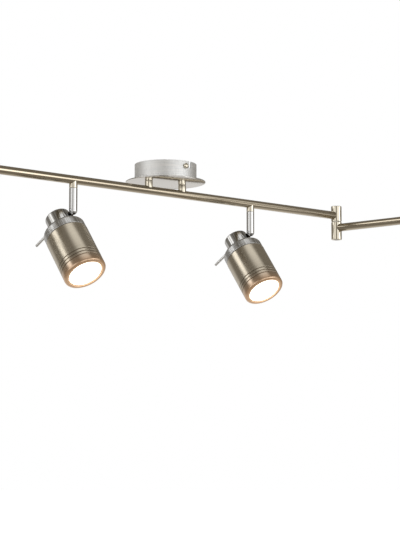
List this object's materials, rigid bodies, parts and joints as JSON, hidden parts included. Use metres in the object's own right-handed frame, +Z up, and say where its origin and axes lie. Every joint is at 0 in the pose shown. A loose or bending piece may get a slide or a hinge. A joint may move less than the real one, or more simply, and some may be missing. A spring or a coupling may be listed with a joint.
{
  "type": "ceiling spot bar",
  "caption": "Ceiling spot bar: a round canopy holds a straight tube on short posts; lamp heads pan and tilt on stems below it, and hinged arms at its ends carry further heads.",
  "frame": {"origin": "centre of the face that lies against the ceiling", "axes": "+Z up, into the ceiling; +X along the centre tube; the inner heads aim towards -Y"},
  "size_m": [0.9518, 0.6784, 0.221],
  "materials": {
    "satin_nickel": "satin nickel plate, brushed around the pan",
    "polished_nickel": "polished warm nickel plate",
    "chrome": "polished chrome plate",
    "brushed_brass": "antique brass plate, satin, brushed along its length",
    "dark_bronze": "dark bronze, satin",
    "zinc_steel": "zinc plated steel",
    "ceramic": "glazed white ceramic",
    "lamp_glass": "frosted lamp glass, lit",
    "terminal_plastic": "moulded polyamide",
    "wire_sheath": "smooth sheath",
    "nylon": "moulded nylon"
  },
  "bodies": {
    "root": {"ceiling_bracket": "zinc_steel", "canopy_pan": "satin_nickel", "canopy_plate": "satin_nickel", "canopy_screw_front": "polished_nickel", "canopy_screw_back": "polished_nickel", "terminal_block": "terminal_plastic", "supply_wire": "wire_sheath", "post_left": "polished_nickel", "post_nut_left": "zinc_steel", "post_right": "polished_nickel", "post_nut_right": "zinc_steel", "centre_tube": "brushed_brass", "hinge_upper_left": "polished_nickel", "hinge_upper_right": "polished_nickel", "stem_collar_inner_left": "polished_nickel", "stem_collar_inner_right": "polished_nickel"},
    "arm_left": {"hinge_lower_left": "polished_nickel", "hinge_bolt_left": "zinc_steel", "hinge_washer_left": "nylon", "arm_tube_left": "brushed_brass", "arm_end_cap_left": "polished_nickel", "stem_collar_outer_left": "polished_nickel"},
    "arm_right": {"hinge_lower_right": "polished_nickel", "hinge_bolt_right": "zinc_steel", "hinge_washer_right": "nylon", "arm_tube_right": "brushed_brass", "arm_end_cap_right": "polished_nickel", "stem_collar_outer_right": "polished_nickel"},
    "stem_inner_left": {"stem_inner_left": "chrome", "pivot_screw_inner_left": "zinc_steel"},
    "head_inner_left": {"tongue_inner_left": "dark_bronze", "rear_cap_inner_left": "chrome", "aiming_lever_inner_left": "chrome", "shade_inner_left": "brushed_brass", "lampholder_inner_left": "ceramic", "lamp_inner_left": "lamp_glass"},
    "stem_inner_right": {"stem_inner_right": "chrome", "pivot_screw_inner_right": "zinc_steel"},
    "head_inner_right": {"tongue_inner_right": "dark_bronze", "rear_cap_inner_right": "chrome", "aiming_lever_inner_right": "chrome", "shade_inner_right": "brushed_brass", "lampholder_inner_right": "ceramic", "lamp_inner_right": "lamp_glass"},
    "stem_outer_left": {"stem_outer_left": "chrome", "pivot_screw_outer_left": "zinc_steel"},
    "head_outer_left": {"tongue_outer_left": "dark_bronze", "rear_cap_outer_left": "chrome", "aiming_lever_outer_left": "chrome", "shade_outer_left": "brushed_brass", "lampholder_outer_left": "ceramic", "lamp_outer_left": "lamp_glass"},
    "stem_outer_right": {"stem_outer_right": "chrome", "pivot_screw_outer_right": "zinc_steel"},
    "head_outer_right": {"tongue_outer_right": "dark_bronze", "rear_cap_outer_right": "chrome", "aiming_lever_outer_right": "chrome", "shade_outer_right": "brushed_brass", "lampholder_outer_right": "ceramic", "lamp_outer_right": "lamp_glass"}
  },
  "joints": [
    {"name": "swing_left", "type": "hinge", "parent": "root", "child": "arm_left", "pos_m": [-0.362, 0, -0.0523], "axis": [0, 0, 1], "range_deg": [-43.7, 206.3]},
    {"name": "swing_right", "type": "hinge", "parent": "root", "child": "arm_right", "pos_m": [0.362, 0, -0.0523], "axis": [0, 0, 1], "range_deg": [-43.7, 206.3]},
    {"name": "pan_inner_left", "type": "hinge", "parent": "root", "child": "stem_inner_left", "pos_m": [-0.172, 0, -0.087], "axis": [0, 0, 1], "range_deg": [-170, 170]},
    {"name": "tilt_inner_left", "type": "hinge", "parent": "stem_inner_left", "child": "head_inner_left", "pos_m": [-0.172, 0, -0.087], "axis": [-0.9997, -0.0262, 0], "range_deg": [-37, 53]},
    {"name": "pan_inner_right", "type": "hinge", "parent": "root", "child": "stem_inner_right", "pos_m": [0.172, 0, -0.087], "axis": [0, 0, 1], "range_deg": [-170, 170]},
    {"name": "tilt_inner_right", "type": "hinge", "parent": "stem_inner_right", "child": "head_inner_right", "pos_m": [0.172, 0, -0.087], "axis": [-1, 0, 0], "range_deg": [-37, 53]},
    {"name": "pan_outer_left", "type": "hinge", "parent": "arm_left", "child": "stem_outer_left", "pos_m": [-0.40738, 0.29655, -0.107], "axis": [0, 0, 1], "range_deg": [-170, 170]},
    {"name": "tilt_outer_left", "type": "hinge", "parent": "stem_outer_left", "child": "head_outer_left", "pos_m": [-0.40738, 0.29655, -0.107], "axis": [-0.1513, 0.9885, 0], "range_deg": [-37, 53]},
    {"name": "pan_outer_right", "type": "hinge", "parent": "arm_right", "child": "stem_outer_right", "pos_m": [0.40738, -0.29655, -0.107], "axis": [0, 0, 1], "range_deg": [-170, 170]},
    {"name": "tilt_outer_right", "type": "hinge", "parent": "stem_outer_right", "child": "head_outer_right", "pos_m": [0.40738, -0.29655, -0.107], "axis": [0.1513, -0.9885, 0], "range_deg": [-37, 53]}
  ]
}
